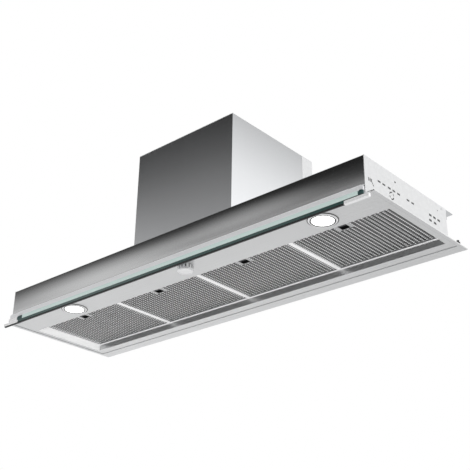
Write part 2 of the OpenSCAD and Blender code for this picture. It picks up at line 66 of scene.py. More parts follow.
# Brightness of the studio by height, from 0 straight down to 1 straight up. The front-left side is
# the one that the fascia mirrors into the camera.
FRONT_LEFT_LIGHT = [(0.0, 0.9), (0.60, 0.75), (0.660, 0.34), (0.70, 0.165), (0.735, 0.040),
                    (0.80, 0.024), (0.90, 0.4), (1.0, 2.0)]
REAR_RIGHT_LIGHT = [(0.0, 0.9), (0.68, 0.95), (0.76, 1.0), (0.85, 0.8), (1.0, 2.0)]
FRONT_LEFT = (-0.62, -0.78)
SIDE_BLEND = [(0.35, 0.0), (0.65, 1.0)]

FLOOR_RADIUS, FLOOR_SIDES, FLOOR_Z = 9.0, 96, -2.0
# Tones of the floor from left to right, and what turns X in metres into a place among them
FLOOR_TONES = [(0.0, 0.95), (0.35, 0.88), (0.72, 0.70), (1.0, 0.74)]
FLOOR_SLOPE, FLOOR_START, FLOOR_SPOTS = 0.2, 0.94, 0.04


def viewing_direction(azimuth, elevation):
    """Unit vector of a viewing direction, from degrees."""
    a, e = math.radians(azimuth), math.radians(elevation)
    return Vector((-math.sin(a) * math.cos(e), math.cos(a) * math.cos(e), math.sin(e)))


def make_camera():
    cam = bpy.data.objects.new("camera", bpy.data.cameras.new("camera"))
    scene.collection.objects.link(cam)
    cam.data.lens = CAMERA_LENS
    cam.data.sensor_width = CAMERA_SENSOR
    cam.data.clip_start = CAMERA_CLIP
    forward = viewing_direction(CAMERA_AZIMUTH, CAMERA_ELEVATION)
    level = forward.cross(Vector((0, 0, 1))).normalized()
    right = Matrix.Rotation(math.radians(CAMERA_ROLL), 3, forward) @ level
    up = right.cross(forward)
    turn = Matrix((right, up, -forward)).transposed()
    cam.matrix_world = Matrix.Translation(CAMERA_PLACE) @ turn.to_4x4()
    scene.camera = cam


def link(tree, out, socket):
    tree.links.new(out, socket)


def feed(tree, socket, value):
    """Sets a socket to a number, or links an output to it."""
    if isinstance(value, (int, float)):
        socket.default_value = value
    else:
        link(tree, value, socket)


def node(tree, kind, **values):
    """A new node with its properties and its unlinked inputs set."""
    n = tree.nodes.new(kind)
    for key, value in values.items():
        if key in n.inputs:
            n.inputs[key].default_value = value
        else:
            setattr(n, key, value)
    return n


def ramp(tree, stops, fac, smooth=True):
    """Colour ramp over (position, grey or colour) stops."""
    n = tree.nodes.new("ShaderNodeValToRGB")
    n.color_ramp.interpolation = "EASE" if smooth else "LINEAR"
    while len(n.color_ramp.elements) < len(stops):
        n.color_ramp.elements.new(0.5)
    for e, (pos, value) in zip(n.color_ramp.elements, stops):
        e.position = pos
        e.color = (value, value, value, 1) if isinstance(value, (int, float)) else (*value, 1)
    link(tree, fac, n.inputs["Fac"])
    return n.outputs["Color"]


def math_node(tree, operation, *values):
    n = tree.nodes.new("ShaderNodeMath")
    n.operation = operation
    for socket, value in zip(n.inputs, values):
        feed(tree, socket, value)
    return n.outputs[0]


def mixed(tree, blend, fac, a, b):
    """Two colours mixed by a factor; inputs 6 and 7 of the mix node are its colours."""
    n = node(tree, "ShaderNodeMix", data_type="RGBA", blend_type=blend)
    feed(tree, n.inputs[0], fac)
    link(tree, a, n.inputs[6])
    link(tree, b, n.inputs[7])
    return n.outputs[2]


def soft_box(tree, direction, tight, strength):
    """Brightness of one soft patch of light."""
    coords = node(tree, "ShaderNodeTexCoord")
    dot = node(tree, "ShaderNodeVectorMath", operation="DOT_PRODUCT")
    link(tree, coords.outputs["Generated"], dot.inputs[0])
    dot.inputs[1].default_value = Vector(direction).normalized()
    return ramp(tree, [(tight, 0.0), (1.0, strength)], dot.outputs["Value"])


def make_world():
    """Studio light by height and side; the camera itself sees plain white."""
    world = bpy.data.worlds.new("studio")
    scene.world = world
    world.use_nodes = True
    t = world.node_tree
    t.nodes.clear()
    x, y, z = axes(t, "Generated")
    height = math_node(t, "MULTIPLY_ADD", z, 0.5, 0.5)
    towards = math_node(t, "ADD", math_node(t, "MULTIPLY", x, FRONT_LEFT[0]),
                        math_node(t, "MULTIPLY", y, FRONT_LEFT[1]))
    side = ramp(t, SIDE_BLEND, math_node(t, "MULTIPLY_ADD", towards, 0.5, 0.5))
    total = mixed(t, "MIX", side, ramp(t, REAR_RIGHT_LIGHT, height), ramp(t, FRONT_LEFT_LIGHT, height))
    for box in SOFT_BOXES:
        total = mixed(t, "ADD", 1.0, total, soft_box(t, *box))
    lit = node(t, "ShaderNodeBackground", Strength=1.0)
    link(t, total, lit.inputs["Color"])
    plain = node(t, "ShaderNodeBackground", Color=(1, 1, 1, 1), Strength=1.0)
    path = node(t, "ShaderNodeLightPath")
    pick = node(t, "ShaderNodeMixShader")
    link(t, path.outputs["Is Camera Ray"], pick.inputs[0])
    link(t, lit.outputs[0], pick.inputs[1])
    link(t, plain.outputs[0], pick.inputs[2])
    out = node(t, "ShaderNodeOutputWorld")
    link(t, pick.outputs[0], out.inputs["Surface"])


def make_floor():
    bm = bmesh.new()
    bmesh.ops.create_circle(bm, cap_ends=True, segments=FLOOR_SIDES, radius=FLOOR_RADIUS)
    me = bpy.data.meshes.new("floor")
    bm.to_mesh(me)
    bm.free()
    me.materials.append(floor_paint())
    floor = bpy.data.objects.new("floor", me)
    floor.location = (0, 0, FLOOR_Z)
    scene.collection.objects.link(floor)


# ---------- Materials ----------

def material(name):
    m = bpy.data.materials.new(name)
    m.use_nodes = True
    t = m.node_tree
    t.nodes.clear()
    shader = node(t, "ShaderNodeBsdfPrincipled")
    out = node(t, "ShaderNodeOutputMaterial")
    link(t, shader.outputs[0], out.inputs["Surface"])
    return m, t, shader


def axes(t, space):
    """X, Y and Z of a texture coordinate."""
    coords = node(t, "ShaderNodeTexCoord")
    split = node(t, "ShaderNodeSeparateXYZ")
    link(t, coords.outputs[space], split.inputs[0])
    return split.outputs["X"], split.outputs["Y"], split.outputs["Z"]


def noise(t, scale, stretch=(1, 1, 1), detail=3.0, rough=0.55):
    """Noise over the object's own coordinates, stretched along its axes."""
    coords = node(t, "ShaderNodeTexCoord")
    place = node(t, "ShaderNodeMapping", Scale=stretch)
    link(t, coords.outputs["Object"], place.inputs["Vector"])
    n = node(t, "ShaderNodeTexNoise", Scale=scale, Detail=detail, Roughness=rough)
    link(t, place.outputs[0], n.inputs["Vector"])
    return n.outputs["Fac"]


def tone(t, fac, low, high):
    """Spreads the middle of a noise over two greys or colours."""
    return ramp(t, [(0.3, low), (0.7, high)], fac)


def bump(t, shader, fac, strength, distance):
    b = node(t, "ShaderNodeBump", Strength=strength, Distance=distance)
    link(t, fac, b.inputs["Height"])
    link(t, b.outputs[0], shader.inputs["Normal"])


def scaled(color, k):
    return tuple(min(c * k, 1.0) for c in color)


def height_tone(t, stops):
    """Shade by height over the object, for sheet that is lit unevenly from below."""
    low, high = stops[0][0], stops[-1][0]
    span = high - low
    place = math_node(t, "MULTIPLY_ADD", axes(t, "Object")[2], 1 / span, -low / span)
    return ramp(t, [((z - low) / span, v) for z, v in stops], place, smooth=False)


def brushed(name, color, rough, grain=(4, 900, 900), spread=0.05, contrast=0.05, shade=None):
    """Brushed metal: fine scratches along the long axis of the grain scale."""
    m, t, s = material(name)
    s.inputs["Metallic"].default_value = 1.0
    s.inputs["Anisotropic"].default_value = 0.35
    fine = noise(t, 1.0, grain, 4.0, 0.7)
    broad = height_tone(t, shade) if shade else tone(t, noise(t, 5.0, detail=2.0), 0.96, 1.0)
    scratches = tone(t, fine, scaled(color, 1 - contrast), scaled(color, 1 + contrast))
    link(t, mixed(t, "MULTIPLY", 1.0, scratches, broad), s.inputs["Base Color"])
    link(t, tone(t, fine, rough - spread, rough + spread), s.inputs["Roughness"])
    bump(t, s, fine, 0.35, 0.00002)
    return m


def satin(name, color, rough, metal=0.3, light=0.0):
    """Light satin finish that is only partly mirror-like, with a faint glow: painted light that makes up for
    the studio's shade.
    """
    m, t, s = material(name)
    s.inputs["Metallic"].default_value = metal
    fine = noise(t, 1.0, (400, 400, 400), 3.0, 0.6)
    grain = tone(t, fine, scaled(color, 0.97), color)
    link(t, grain, s.inputs["Base Color"])
    link(t, tone(t, fine, rough - 0.03, rough + 0.03), s.inputs["Roughness"])
    link(t, grain, s.inputs["Emission Color"])
    s.inputs["Emission Strength"].default_value = light
    bump(t, s, fine, 0.1, 0.00005)
    return m


def galvanised(name, color, rough):
    """Zinc-coated sheet with its crystal flakes."""
    m, t, s = material(name)
    s.inputs["Metallic"].default_value = 0.75
    coords = node(t, "ShaderNodeTexCoord")
    flakes = node(t, "ShaderNodeTexVoronoi", Scale=130.0, Randomness=1.0)
    link(t, coords.outputs["Object"], flakes.inputs["Vector"])
    grey = node(t, "ShaderNodeRGBToBW")
    link(t, flakes.outputs["Color"], grey.inputs[0])
    link(t, tone(t, grey.outputs[0], scaled(color, 0.965), scaled(color, 1.02)), s.inputs["Base Color"])
    link(t, tone(t, grey.outputs[0], rough - 0.03, rough + 0.04), s.inputs["Roughness"])
    bump(t, s, noise(t, 40.0), 0.15, 0.0002)
    return m


def plastic(name, color, rough, grain=900.0, coat=0.0):
    """Moulded plastic or paint with a fine grain."""
    m, t, s = material(name)
    fine = noise(t, grain)
    link(t, tone(t, fine, scaled(color, 0.88), scaled(color, 1.1)), s.inputs["Base Color"])
    link(t, tone(t, fine, rough - 0.06, rough + 0.06), s.inputs["Roughness"])
    s.inputs["Coat Weight"].default_value = coat
    bump(t, s, fine, 0.3, 0.00008)
    return m


def polished(name, color, rough):
    """Plated metal with a faint unevenness."""
    m, t, s = material(name)
    s.inputs["Metallic"].default_value = 1.0
    soft = noise(t, 60.0, detail=2.0)
    link(t, tone(t, soft, scaled(color, 0.97), color), s.inputs["Base Color"])
    link(t, tone(t, soft, rough, rough + 0.04), s.inputs["Roughness"])
    bump(t, s, soft, 0.03, 0.0001)
    return m


def clear_glass(name, color, rough):
    """Glass that lets most of the light through."""
    m, t, s = material(name)
    link(t, tone(t, noise(t, 9.0, detail=2.0), scaled(color, 0.97), color), s.inputs["Base Color"])
    link(t, tone(t, noise(t, 70.0), rough, rough + 0.03), s.inputs["Roughness"])
    s.inputs["Transmission Weight"].default_value = 0.92
    s.inputs["IOR"].default_value = 1.5
    return m


def glowing(name, color, strength):
    """Lamp lens with the soft pattern of the light source behind it."""
    m, t, s = material(name)
    cells = noise(t, 220.0, detail=1.0)
    link(t, tone(t, cells, scaled(color, 0.9), color), s.inputs["Base Color"])
    link(t, tone(t, cells, 0.25, 0.4), s.inputs["Roughness"])
    link(t, tone(t, cells, scaled(color, 0.92), color), s.inputs["Emission Color"])
    s.inputs["Emission Strength"].default_value = strength
    bump(t, s, cells, 0.2, 0.0003)
    return m


def floor_paint():
    """Matt studio floor that gets paler towards its left side."""
    m, t, s = material("floor_paint")
    along = math_node(t, "MULTIPLY_ADD", axes(t, "Object")[0], FLOOR_SLOPE, FLOOR_START)
    spots = math_node(t, "MULTIPLY", noise(t, 0.7, detail=2.0), FLOOR_SPOTS)
    link(t, ramp(t, FLOOR_TONES, math_node(t, "ADD", along, spots)), s.inputs["Base Color"])
    s.inputs["Roughness"].default_value = 0.9
    return m


# Painted shade of the fascia and the tower by height in metres, darker towards the top; the fascia's two
# lowest stops are a painted highlight along its bottom lip
FASCIA_SHADE = [(0.017, 1.0), (0.026, 1.0), (0.034, 0.88), (0.055, 0.66), (0.087, 0.42)]
TOWER_SHADE = [(0.086, 1.0), (0.20, 0.85), (0.342, 0.55)]
EVEN = (300, 300, 300)
# Every satin material below glows by its last number: painted light on parts that are no lamps
MATS = {
    "fascia": brushed("fascia_steel", (0.95, 0.955, 0.96), 0.15, (3, 700, 1100), 0.02, 0.03, FASCIA_SHADE),
    "tower": brushed("tower_steel", (0.80, 0.81, 0.825), 0.22, (500, 500, 3), 0.02, 0.02, TOWER_SHADE),
    "under": brushed("underside_steel", (0.76, 0.765, 0.77), 0.30, (3, 900, 900), 0.03, 0.025),
    "bay": brushed("bay_steel", (0.60, 0.605, 0.61), 0.34, (5, 600, 600)),
    # White and glowing: painted light on the recess's end walls
    "end_wall_light": satin("bay_end_wall_painted_light", (0.95, 0.95, 0.95), 0.40, 0.0, 0.42),
    "galv": galvanised("galvanised_sheet", (0.78, 0.785, 0.79), 0.42),
    "top": galvanised("top_sheet", (0.78, 0.785, 0.79), 0.42),
    "rail": brushed("rail_steel", (0.45, 0.46, 0.47), 0.35, (8, 500, 500)),
    "alu": satin("satin_aluminium", (0.90, 0.90, 0.92), 0.36, 0.25, 0.08),
    "frame": brushed("filter_frame_aluminium", (0.42, 0.425, 0.43), 0.36, (4, 800, 800)),
    "divider": satin("divider_white_coat", (0.95, 0.95, 0.95), 0.35, 0.1, 0.25),
    # White and glowing: painted highlight on the tops of the mesh's bonds
    "bond": satin("mesh_bond_painted_highlight", (0.95, 0.95, 0.955), 0.42, 0.3, 0.12),
    "plate": brushed("rim_aluminium", (0.58, 0.585, 0.59), 0.36, EVEN),
    "strand": brushed("strand_aluminium", (0.36, 0.362, 0.366), 0.38, EVEN),
    # Dark copy of the strand aluminium: painted shade on the inner mesh layer
    "mesh_back": brushed("inner_mesh_painted_shade", (0.16, 0.162, 0.165), 0.5, EVEN),
    "chrome": polished("chrome_plate", (0.90, 0.905, 0.91), 0.05),
    "cap": satin("cap_satin_white", (0.93, 0.93, 0.935), 0.22, 0.25, 0.14),
    "screw": polished("screw_zinc", (0.78, 0.79, 0.80), 0.22),
    "black": plastic("black_plastic", (0.020, 0.020, 0.022), 0.45),
    "clip": plastic("clip_teal_plastic", (0.035, 0.085, 0.085), 0.35, coat=0.3),
    "grey": plastic("grey_plastic", (0.20, 0.205, 0.21), 0.5),
    "white": plastic("white_plastic", (0.86, 0.86, 0.84), 0.35, coat=0.3),
    "motor": plastic("motor_paint", (0.16, 0.165, 0.175), 0.4, 300.0, coat=0.2),
    "collar": plastic("collar_plastic", (0.055, 0.056, 0.06), 0.42),
    "glass": clear_glass("green_glass", (0.90, 0.98, 0.965), 0.02),
    "edge_glass": satin("edge_green_glass", (0.66, 0.80, 0.765), 0.12, 0.0, 0.14),
    # Green glass darkened as painted shade for the visor's lower band
    "edge_dark": plastic("edge_green_glass_painted_shade", (0.035, 0.080, 0.074), 0.14, 200.0, coat=0.8),
    # Black for the knob's ribs and a lamp gap, and for painted shadow at the visor, round the lamps and in
    # the side panels' slots
    "seal_and_shadow": plastic("black_seal_and_painted_shadow", (0.006, 0.008, 0.008), 0.3),
    "lens": glowing("lamp_lens", (1.0, 1.0, 0.98), 2.6),
    # Near black: painted shade in the finger recesses, behind the side slots and inside the filters
    "shade_black": plastic("recess_painted_shade", (0.012, 0.012, 0.013), 0.6),
}


# ---------- Mesh helpers ----------

def piece(name, mat, body, replaced, build, smooth=False):
    """A new piece from a function that fills a bmesh, riding on a body."""
    bm = bmesh.new()
    build(bm)
    bmesh.ops.recalc_face_normals(bm, faces=bm.faces)
    me = bpy.data.meshes.new(name)
    bm.to_mesh(me)
    bm.free()
    me.materials.append(MATS[mat])
    for p in me.polygons:
        p.use_smooth = smooth
    o = bpy.data.objects.new(name, me)
    scene.collection.objects.link(o)
    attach(o, body)
    if replaced:
        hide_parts(*replaced)
    return o


def keep_sharp(o, angle):
    """Splits a smooth piece at its edges sharper than an angle."""
    o.modifiers.new("sharp", "EDGE_SPLIT").split_angle = math.radians(angle)


def soft_edges(o, width):
    """Welds a CAD mesh and rounds its hard edges."""
    weld = o.modifiers.new("weld", "WELD")
    weld.merge_threshold = 0.00001
    bev = o.modifiers.new("bevel", "BEVEL")
    bev.width = width
    bev.segments = 2
    bev.limit_method = "ANGLE"
    bev.angle_limit = math.radians(35)
    bev.use_clamp_overlap = True


def block(bm, lo, hi, radius=0.0, segments=3):
    """A box between two corners with every edge rounded."""
    made = bmesh.ops.create_cube(bm, size=1.0)
    lo, hi = Vector(lo), Vector(hi)
    for v in made["verts"]:
        v.co = Vector([lo[i] + (v.co[i] + 0.5) * (hi[i] - lo[i]) for i in range(3)])
    if radius:
        edges = list({e for v in made["verts"] for e in v.link_edges})
        bmesh.ops.bevel(bm, geom=edges, offset=radius, segments=segments, profile=0.5, affect="EDGES")


def folded(path, thick, radius, steps=6):
    """Closed outline of a sheet that follows a path of points and bends round its corners."""
    pts = [Vector(p) for p in path]
    line = [pts[0]]
    for a, b, c in zip(pts, pts[1:], pts[2:]):
        u, v = (a - b).normalized(), (c - b).normalized()
        half = u.angle(v) / 2
        reach = radius / math.tan(half)
        middle = b + (u + v).normalized() * (radius / math.sin(half))
        start, end = (b + u * reach - middle).normalized(), (b + v * reach - middle).normalized()
        for i in range(steps + 1):
            line.append(middle + start.slerp(end, i / steps) * radius)
    line.append(pts[-1])
    normals = []
    for i in range(len(line)):
        d = line[min(i + 1, len(line) - 1)] - line[max(i - 1, 0)]
        normals.append(Vector((-d.y, d.x)).normalized())
    left = [p + n * thick / 2 for p, n in zip(line, normals)]
    right = [p - n * thick / 2 for p, n in zip(line, normals)]
    return left + right[::-1]


def extrude_x(bm, outline, x0, x1):
    """A closed (y, z) outline drawn out along X; the ends are closed strip by strip."""
    ring0 = [bm.verts.new((x0, p[0], p[1])) for p in outline]
    ring1 = [bm.verts.new((x1, p[0], p[1])) for p in outline]
    n = len(outline)
    for i in range(n):
        j = (i + 1) % n
        bm.faces.new((ring0[i], ring0[j], ring1[j], ring1[i]))
    for ring in (ring0, ring1):
        for i in range(1, n // 2):
            bm.faces.new((ring[i - 1], ring[i], ring[n - 1 - i], ring[n - i]))


def on_circle(radius, i, steps, h=0.0):
    a = 2 * math.pi * i / steps
    return Vector((radius * math.cos(a), radius * math.sin(a), h))


def lathe(bm, profile, centre, steps):
    """Turns (radius, height) points round an upright axis; a radius of 0 closes the end."""
    centre = Vector(centre)
    rings = [[bm.verts.new(centre + on_circle(r, i, steps, h)) for i in range(steps if r else 1)]
             for r, h in profile]
    for a, b in zip(rings, rings[1:]):
        for i in range(steps):
            j = (i + 1) % steps
            if len(a) == 1:
                bm.faces.new((a[0], b[i], b[j]))
            elif len(b) == 1:
                bm.faces.new((a[i], b[0], a[j]))
            else:
                bm.faces.new((a[i], b[i], b[j], a[j]))


def rounded(points, radius, steps=4):
    """(radius, height) profile with its inner corners rounded."""
    out = [points[0]]
    for a, b, c in zip(points, points[1:], points[2:]):
        va, vb, vc = Vector(a), Vector(b), Vector(c)
        u, v = va - vb, vc - vb
        cut = min(radius, u.length * 0.45, v.length * 0.45)
        p, q = vb + u.normalized() * cut, vb + v.normalized() * cut
        for i in range(steps + 1):
            k = i / steps
            w = (1 - k) ** 2 * p + 2 * k * (1 - k) * vb + k * k * q
            out.append((w.x, w.y))
    out.append(points[-1])
    return out


def centre_of(name):
    lo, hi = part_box(name)
    return (lo + hi) / 2


# ---------- Fascia and visor ----------

FASCIA_LIP, FASCIA_BEND = 7.7 * MM, 1.5 * MM
# Height of the black line of painted shadow along the bottom of the visor's glass
SHADOW_LINE_H = 3.2 * MM
# Both ends of each dark guide clip, from its own end of the visor's web
CLIPS = {"left": (36 * MM, 58 * MM), "right": (-6 * MM, 7 * MM)}
CLIP_FOOT_TOP, CLIP_TONGUE_FOOT, CLIP_STEP = 0.5 * MM, -1.5 * MM, 3 * MM


def make_fascia():
    """Bent front sheet with a lip along its top."""
    lo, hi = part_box("fascia_panel")
    half = SHEET / 2
    outline = folded([(lo.y + FASCIA_LIP, hi.z - half), (lo.y + half, hi.z - half),
                      (lo.y + half, lo.z + half), (hi.y, lo.z + half)], SHEET, FASCIA_BEND)
    o = piece("fascia_skin", "fascia", "hood", ["fascia_panel"],
              lambda bm: extrude_x(bm, outline, lo.x, hi.x), smooth=True)
    keep_sharp(o, 40)


def make_visor():
    """Pale glass over a dark green band and a black line, both painted shade under the glass; a light end
    piece stands beyond the left clip.
    """
    lo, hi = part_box("visor_edge_glass")
    web_lo, web_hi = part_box("visor_profile")
    clips = {"left": [web_lo.x + x for x in CLIPS["left"]], "right": [web_hi.x + x for x in CLIPS["right"]]}
    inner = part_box("right_end_cap")[0].x
    web_z = web_lo.z
    shadow_line_z = lo.z + SHADOW_LINE_H
    piece("edge_glass", "edge_glass", "visor", ["visor_edge_glass"], lambda bm: block(
        bm, (clips["left"][1], lo.y, web_z), (clips["right"][0], hi.y, hi.z), 0.7 * MM, 2))
    piece("left_glass_end", "cap", "visor", (), lambda bm: block(
        bm, (web_lo.x, lo.y, web_z), (clips["left"][0], hi.y, hi.z), 0.7 * MM, 2))
    # Dark green band: the glass's green, darkened with painted shade where nothing lit shows through it
    piece("edge_dark_band", "edge_dark", "visor", (), lambda bm: block(
        bm, (-inner, lo.y + 0.1 * MM, shadow_line_z), (inner, hi.y, web_z), 0.5 * MM, 2))

    # Black lines of painted shadow: one under the glass and a thin one just under the web at the right end
    def shadow_lines(bm):
        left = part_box("left_end_cap")[0].x + 3 * MM
        block(bm, (left, lo.y + 0.2 * MM, lo.z), (inner, hi.y, shadow_line_z), 0.9 * MM, 2)
        block(bm, (inner, lo.y + 0.1 * MM, web_z - 1.6 * MM), (web_hi.x + 5 * MM, hi.y, web_z - 0.1 * MM),
              0.3 * MM, 2)
    piece("edge_shadow_line", "seal_and_shadow", "visor", (), shadow_lines)
    for side, sign in SIDES:
        make_cap(side, shadow_line_z)
        make_clip(side, clips[side], lo, hi, web_z)
        make_web_end(side, sign, web_lo, web_hi)


def make_cap(side, shadow_line_z):
    """End cap: the left one starts above the black line of painted shadow, the right one ends a little lower.
    """
    lo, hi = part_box(side + "_end_cap")
    foot = shadow_line_z if side == "left" else lo.z
    head = hi.z if side == "left" else hi.z - 1.7 * MM
    piece(side + "_cap_shell", "cap", "visor", [side + "_end_cap"],
          lambda bm: block(bm, (lo.x, lo.y, foot), (hi.x, hi.y, head), 1.1 * MM))


def make_clip(side, ends, lo, hi, web_z):
    """Dark guide clip: a wide foot and a narrower tongue above it."""
    a, b = ends

    def build(bm):
        block(bm, (a, lo.y, web_z), (b, hi.y, CLIP_FOOT_TOP), 0.9 * MM)
        block(bm, (a + CLIP_STEP, lo.y, CLIP_TONGUE_FOOT), (b - CLIP_STEP, hi.y, hi.z), 0.6 * MM)
    piece(side + "_slot_clip", "clip", "visor", (), build)


def make_web_end(side, sign, web_lo, web_hi):
    """Bright cover on an end of the visor's web and the fin that runs back from it."""
    end = web_hi.x if sign > 0 else web_lo.x
    fin_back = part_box("fascia_panel")[0].y - 0.5 * MM
    top = web_hi.z - 2 * MM

    def build(bm):
        a, b = sorted((end - sign * 0.5 * MM, end + sign * 2.6 * MM))
        block(bm, (a, web_lo.y - 0.1 * MM, web_lo.z + 2 * MM), (b, web_lo.y + 2.6 * MM, top), 0.7 * MM, 2)
        a, b = sorted((end + sign * 1.4 * MM, end + sign * 2.6 * MM))
        block(bm, (a, web_lo.y, web_lo.z + 3 * MM), (b, fin_back, top), 0.3 * MM, 2)
    piece(side + "_web_end", "alu", "visor", (), build)


# ---------- Filter recess, flange and side panels ----------

# Thickness and foot of the white glowing sheets on the recess's end walls, which are painted light
LIGHT_SHEET_T, LIGHT_SHEET_FOOT = 0.4 * MM, -1.0 * MM
# Inset of the flange's step from its ends, width of the dark line of painted shadow along it, and inset from
# its back; then that line's foot and top
BORDER_STEP, STEP_SHADOW_W, BORDER_REAR = 9 * MM, 1.1 * MM, 30 * MM
STEP_SHADOW_FOOT, STEP_SHADOW_TOP = -1.75 * MM, -1.15 * MM
# Thickness of the dark sheets of painted shade behind the side panels' slots
SLOT_SHADOW_T = 0.4 * MM
# Dark patches of painted shadow in the slots of a side panel, in mm: distance behind its front edge, height
# over the flange, length, height
SLOT_SHADOWS = [(y, 45.5, 10, 4) for y in (52, 69, 89, 106, 124, 160, 178)]
SLOT_SHADOWS += [(y, 45, 10, 5) for y in (249, 266, 284)]
SLOT_SHADOWS += [(y, 32, 10, 5) for y in (248, 267)]
SLOT_SHADOWS += [(y, 36, 2.6, 8) for y in (14, 19, 24)]


def make_bay_light_sheets():
    """White glowing sheets on the end walls of the filter recess, painted light where the lamps light those
    walls, and the thin stepped ledge along its back.
    """
    lo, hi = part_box("filter_bay_frame")
    wall = SHEET + 0.02 * MM
    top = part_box("filter_1_frame")[0].z - 0.9 * MM
    for side, sign in SIDES:
        a, b = sorted((sign * (hi.x - wall), sign * (hi.x - wall - LIGHT_SHEET_T)))
        piece(side + "_bay_light_sheet", "end_wall_light", "hood", (), lambda bm: block(
            bm, (a, lo.y + wall, LIGHT_SHEET_FOOT), (b, hi.y - wall, top), 0.15 * MM, 2))
    x0, x1, back = lo.x + 2 * wall, hi.x - 2 * wall, hi.y - wall

    def ledge(bm):
        block(bm, (x0, back - 2.9 * MM, top - 1.0 * MM), (x1, back, top - 0.1 * MM), 0.3 * MM, 2)
        block(bm, (x0, back - 0.5 * MM, top - 3.0 * MM), (x1, back, top - 0.5 * MM), 0.1 * MM, 1)
    piece("bay_rear_ledge", "cap", "hood", (), ledge)


def make_border():
    """Fine dark lines where the flange steps down round its ends and back: painted shadow of the step."""
    lo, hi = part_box("bottom_flange")
    rear = hi.y - BORDER_REAR

    def lines(bm):
        for _, sign in SIDES:
            a, b = sorted((sign * (hi.x - BORDER_STEP), sign * (hi.x - BORDER_STEP - STEP_SHADOW_W)))
            block(bm, (a, lo.y + 2 * MM, STEP_SHADOW_FOOT), (b, rear, STEP_SHADOW_TOP), 0.12 * MM, 1)
        block(bm, (lo.x + BORDER_STEP, rear - STEP_SHADOW_W, STEP_SHADOW_FOOT), (hi.x - BORDER_STEP, rear, STEP_SHADOW_TOP),
              0.12 * MM, 1)
    piece("flange_step_shadow_line", "rail", "hood", (), lines)


def make_slot_shadow_sheets():
    """Dark sheets just behind the slots of the side panels: painted shade of the hood's inside, seen through
    the slots.
    """
    for side, sign in SIDES:
        lo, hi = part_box(side + "_side_panel")
        inner = (lo.x if sign < 0 else hi.x) - sign * (SHEET + 0.1 * MM)
        a, b = sorted((inner, inner - sign * SLOT_SHADOW_T))
        piece(side + "_slot_shadow_sheet", "shade_black", "hood", (), lambda bm: block(
            bm, (a, lo.y + 8 * MM, lo.z + 20 * MM), (b, hi.y - 6 * MM, hi.z - 4 * MM), 0.15 * MM, 1))


def make_slot_shadows():
    """Dark patches that fill the fixing slots of both side panels: painted shadow in the slots."""
    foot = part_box("bottom_flange")[1].z
    for side, sign in SIDES:
        lo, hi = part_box(side + "_side_panel")
        out = lo.x if sign < 0 else hi.x
        a, b = sorted((out - sign * 1.0 * MM, out + sign * 0.2 * MM))

        def build(bm):
            for patch in SLOT_SHADOWS:
                y, z, long, high = (size * MM for size in patch)
                block(bm, (a, lo.y + y - long / 2, foot + z - high / 2),
                      (b, lo.y + y + long / 2, foot + z + high / 2), 0.15 * MM, 1)
        piece(side + "_slot_shadows", "seal_and_shadow", "hood", (), build)


# ---------- Knob and lamps ----------

KNOB_RIBS = 14
KNOB_STEPS = 96
LAMP_STEPS = 96
LENS_RINGS, LENS_STEPS = 9, 72


def make_knob():
    """Round knob with a dished face, a grip groove, a pointer mark and dark ribs."""
    lo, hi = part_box("control_knob")
    r, h = (hi.x - lo.x) / 2, hi.z - lo.z
    c = centre_of("control_knob")
    profile = [(0, 0.5 * MM), (r - 4.2 * MM, 0.5 * MM), (r - 3.6 * MM, 0), (r - 1.2 * MM, 0),
               (r, 1.4 * MM), (r, 4.5 * MM), (r - 0.35 * MM, 4.8 * MM), (r, 5.1 * MM), (r, h), (0, h)]

    def shell(bm):
        lathe(bm, rounded(profile, 0.5 * MM), (c.x, c.y, lo.z), KNOB_STEPS)
        block(bm, (c.x - 0.5 * MM, lo.y + 2 * MM, lo.z), (c.x + 0.5 * MM, lo.y + 7 * MM, lo.z + 0.6 * MM),
              0.15 * MM, 1)

    def ribs(bm):
        for i in range(KNOB_RIBS):
            a = 2 * math.pi * (i + 0.3) / KNOB_RIBS
            before = set(bm.verts)
            block(bm, (r - 0.5 * MM, -1.15 * MM, 5.6 * MM), (r + 0.12 * MM, 1.15 * MM, h - 0.8 * MM),
                  0.3 * MM, 2)
            turn = Matrix.Translation((c.x, c.y, lo.z)) @ Matrix.Rotation(a, 4, "Z")
            for v in set(bm.verts) - before:
                v.co = turn @ v.co
    piece("knob_ribs", "seal_and_shadow", "knob", (), ribs)
    keep_sharp(piece("knob_shell", "chrome", "knob", ["control_knob"], shell, smooth=True), 35)


def make_lamp(side):
    """Chrome ring between two dark rings, the outer one painted shadow round the bezel and the inner one a
    dark gap by the lens, and a lens with fine rings.
    """
    lo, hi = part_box(side + "_lamp_ring")
    c = centre_of(side + "_lamp_ring")
    r, drop = (hi.x - lo.x) / 2, hi.z - lo.z
    inner, rim = r - 6.6 * MM, r - 1.6 * MM
    ring = [(inner, drop), (inner, 0.9 * MM), (inner + 1.2 * MM, 0), (rim - 2.2 * MM, 0),
            (rim, 1.9 * MM), (rim, drop), (inner, drop)]

    def gap(r0, r1, foot):
        return [(r0, drop), (r0, foot), (r1, foot), (r1, drop), (r0, drop)]

    def gap_and_shadow_rings(bm):
        for outline in (gap(rim - 1 * MM, r, drop - 0.9 * MM), gap(r - 9.2 * MM, inner + 0.2 * MM, 0.5 * MM)):
            lathe(bm, rounded(outline, 0.2 * MM, 2), (c.x, c.y, lo.z), LAMP_STEPS)
    piece(side + "_lamp_gap_and_shadow", "seal_and_shadow", "hood", (), gap_and_shadow_rings, smooth=True)
    bezel = piece(side + "_lamp_bezel", "chrome", "hood", [side + "_lamp_ring"],
                  lambda bm: lathe(bm, rounded(ring, 0.8 * MM), (c.x, c.y, lo.z), LAMP_STEPS), smooth=True)
    keep_sharp(bezel, 50)
    make_lens(side, c)


